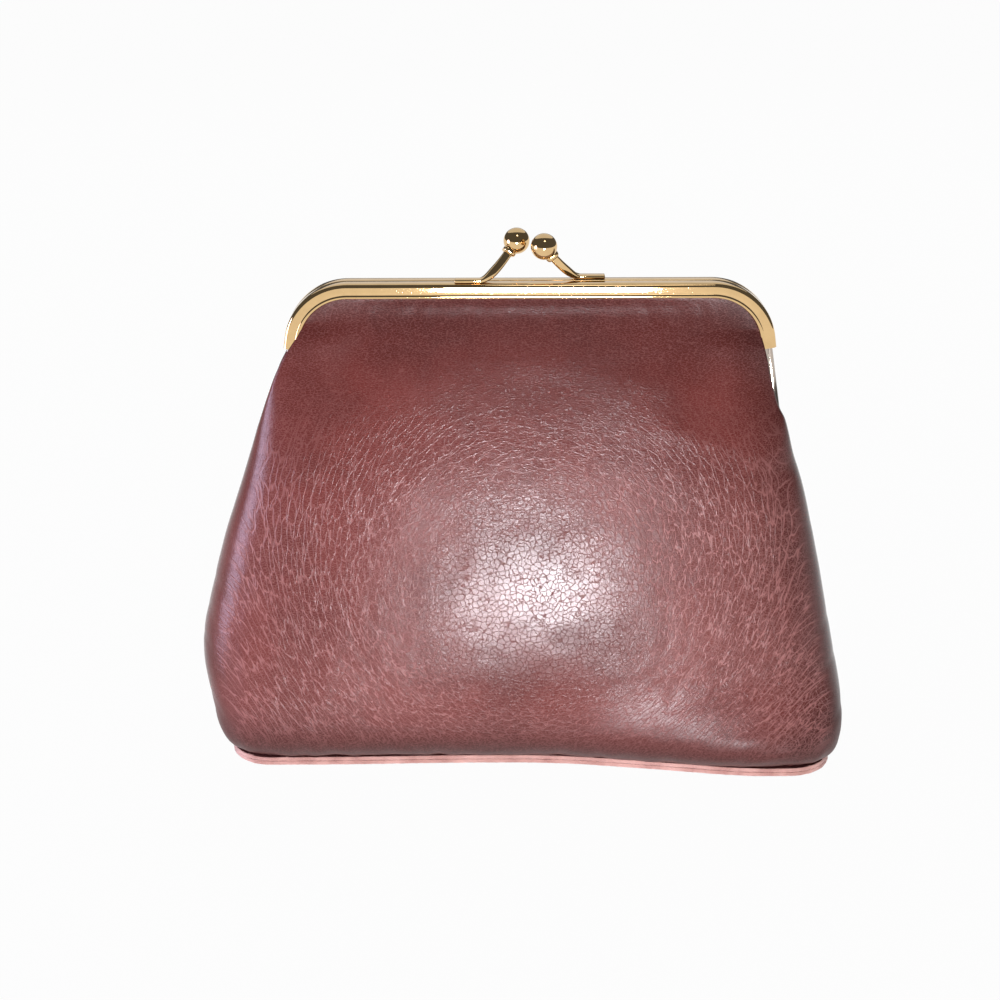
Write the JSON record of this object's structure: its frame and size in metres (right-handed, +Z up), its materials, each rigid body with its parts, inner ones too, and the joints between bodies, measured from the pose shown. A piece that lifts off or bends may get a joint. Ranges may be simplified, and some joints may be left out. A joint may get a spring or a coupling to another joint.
{
  "type": "kiss lock frame purse",
  "caption": "Soft leather coin purse on a flat base, with a hinged metal frame along its mouth that closes with a kiss lock of crossing balls.",
  "frame": {"origin": "middle of the underside of the base", "axes": "+Z up, +X to the right seen from the front, front of the purse faces -Y"},
  "size_m": [0.211, 0.0674, 0.1704],
  "materials": {
    "leather": "satin, grained",
    "lining": "matte woven",
    "board": "matte",
    "paper": "matte twisted",
    "gold_metal": "polished plating"
  },
  "bodies": {
    "bag": {"base_panel": "leather", "base_board": "board", "base_lining": "lining", "front_panel_lower": "leather", "rear_panel_lower": "leather", "front_lining_lower": "lining", "rear_lining_lower": "lining"},
    "front_half": {"front_frame": "gold_metal", "front_hinge_leg_left": "gold_metal", "front_hinge_leg_right": "gold_metal", "front_paper_cord": "paper", "front_panel_upper": "leather", "front_lining_upper": "lining", "front_clasp_arm": "gold_metal", "front_clasp_ball": "gold_metal"},
    "rear_half": {"rear_frame": "gold_metal", "rear_hinge_leg_left": "gold_metal", "rear_hinge_leg_right": "gold_metal", "rear_paper_cord": "paper", "rear_panel_upper": "leather", "rear_lining_upper": "lining", "rear_clasp_arm": "gold_metal", "rear_clasp_ball": "gold_metal", "hinge_rivet_left": "gold_metal", "hinge_rivet_right": "gold_metal"}
  },
  "joints": [
    {"name": "front_open", "type": "hinge", "parent": "bag", "child": "front_half", "pos_m": [0, 0, 0.099], "axis": [1, 0, 0], "range_deg": [0, 40]},
    {"name": "rear_open", "type": "hinge", "parent": "bag", "child": "rear_half", "pos_m": [0, 0, 0.099], "axis": [-1, 0, 0], "range_deg": [0, 40]}
  ]
}
